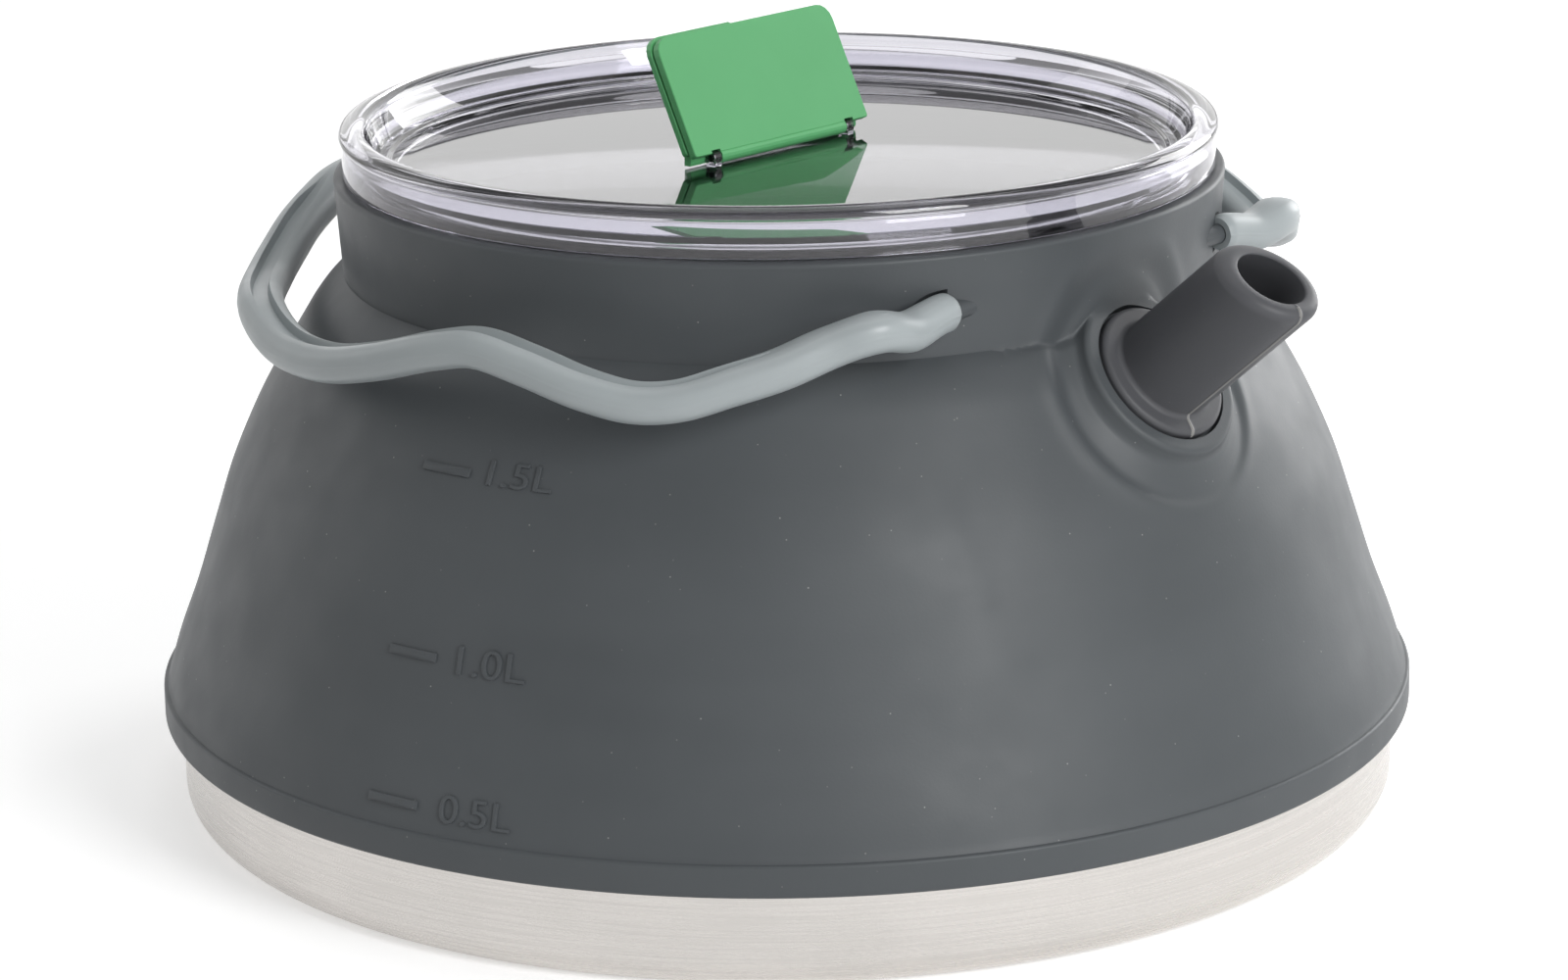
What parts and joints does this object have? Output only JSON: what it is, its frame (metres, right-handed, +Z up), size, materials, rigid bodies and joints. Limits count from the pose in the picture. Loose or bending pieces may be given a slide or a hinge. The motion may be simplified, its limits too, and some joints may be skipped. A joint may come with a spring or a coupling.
{
  "type": "collapsible camping kettle",
  "caption": "Camping kettle with a steel pan, a silicone body that folds flat, a slanted spout tube, a clear lid with a folding tab and a wavy bail handle.",
  "frame": {"origin": "centre of the pan's flat underside, where the kettle stands", "axes": "+Z up along the kettle's axis, +X towards the spout, +Y to the left of the spout"},
  "size_m": [0.196, 0.193, 0.1179],
  "materials": {
    "pan_steel": "satin",
    "silicone": "matte",
    "dark_nylon": "matte",
    "dark_steel": "blackened",
    "handle_nylon": "satin",
    "lid_clear": "clear with a smoke tint",
    "tab_green": "satin"
  },
  "bodies": {
    "base": {"base_pan": "pan_steel", "silicone_skirt": "silicone", "silicone_fold": "silicone"},
    "neck": {"silicone_shoulder": "silicone", "spout_tube": "silicone", "neck_ring": "dark_nylon", "pivot_pin_left": "dark_steel", "pivot_pin_right": "dark_steel"},
    "handle": {"handle_bail": "handle_nylon"},
    "lid": {"lid": "lid_clear", "tab_pin": "dark_steel"},
    "tab": {"tab_plate": "tab_green", "tab_back": "tab_green"}
  },
  "joints": [
    {"name": "collapse", "type": "slide", "parent": "base", "child": "neck", "axis": [0, 0, -1], "range_m": [0, 0.04], "deforming": ["silicone_fold"]},
    {"name": "handle_swing", "type": "hinge", "parent": "neck", "child": "handle", "pos_m": [0.06, 0, 0.089], "axis": [0, 1, 0], "range_deg": [0, 180]},
    {"name": "lid_lift", "type": "slide", "parent": "neck", "child": "lid", "axis": [0, 0, 1], "range_m": [0, 0.028]},
    {"name": "tab_flip", "type": "hinge", "parent": "lid", "child": "tab", "pos_m": [0.00045, 0, 0.1003], "axis": [0, 1, 0], "range_deg": [0, 112]}
  ]
}
